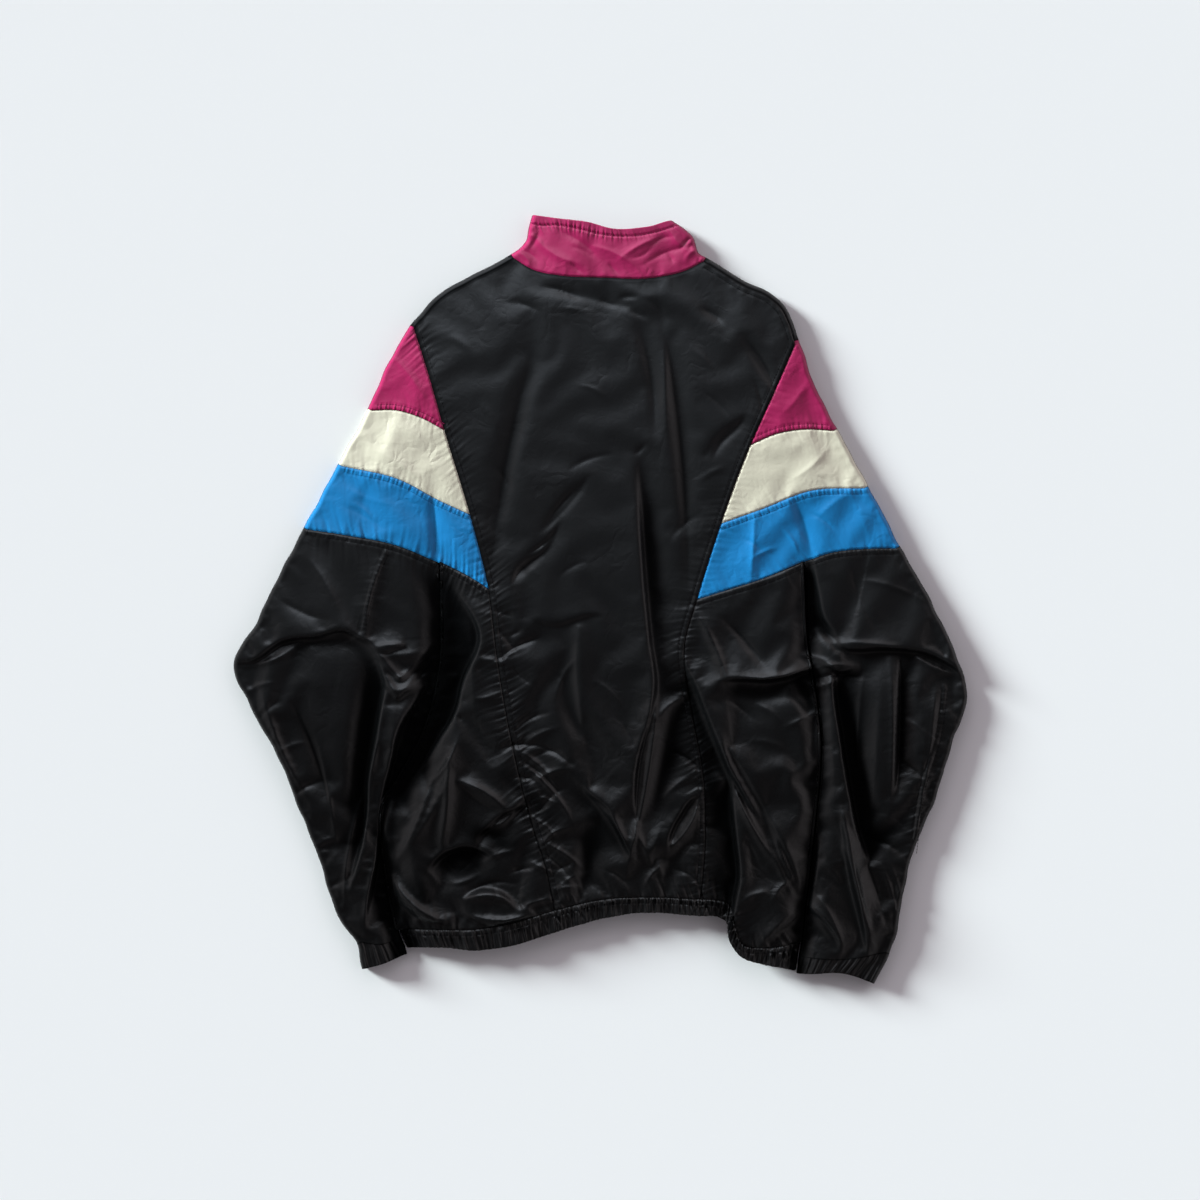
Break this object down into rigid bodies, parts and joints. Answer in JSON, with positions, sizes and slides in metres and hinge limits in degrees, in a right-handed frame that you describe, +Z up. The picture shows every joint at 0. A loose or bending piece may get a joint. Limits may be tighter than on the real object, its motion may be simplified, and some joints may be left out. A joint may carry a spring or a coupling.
{
  "type": "track jacket",
  "caption": "Nylon shell track jacket laid flat with its back up: stand collar, colour-banded sleeves, gathered waistband.",
  "frame": {"origin": "middle of the footprint, on the surface that the jacket lies on", "axes": "+Y to the collar, +X to the wearer's right, which is the viewer's right, +Z up off the surface and out of the back"},
  "size_m": [0.7326, 0.7658, 0.0295],
  "materials": {
    "black_nylon": "thin black nylon taffeta, soft sheen",
    "magenta_nylon": "thin magenta nylon taffeta, soft sheen",
    "white_nylon": "thin off-white nylon taffeta, soft sheen",
    "blue_nylon": "thin blue nylon taffeta, soft sheen",
    "zip_plastic": "moulded black zip"
  },
  "bodies": {
    "root": {"back_panel": "black_nylon", "side_panel_left": "black_nylon", "side_panel_right": "black_nylon", "sleeve_left": "black_nylon", "sleeve_right": "black_nylon", "cuff_left": "black_nylon", "cuff_right": "black_nylon", "front_left": "black_nylon", "front_right": "black_nylon", "waistband": "black_nylon", "band_magenta_left": "magenta_nylon", "band_magenta_right": "magenta_nylon", "collar": "magenta_nylon", "band_white_left": "white_nylon", "band_white_right": "white_nylon", "band_blue_left": "blue_nylon", "band_blue_right": "blue_nylon", "zip_chain": "zip_plastic", "zip_slider": "zip_plastic"}
  },
  "joints": []
}
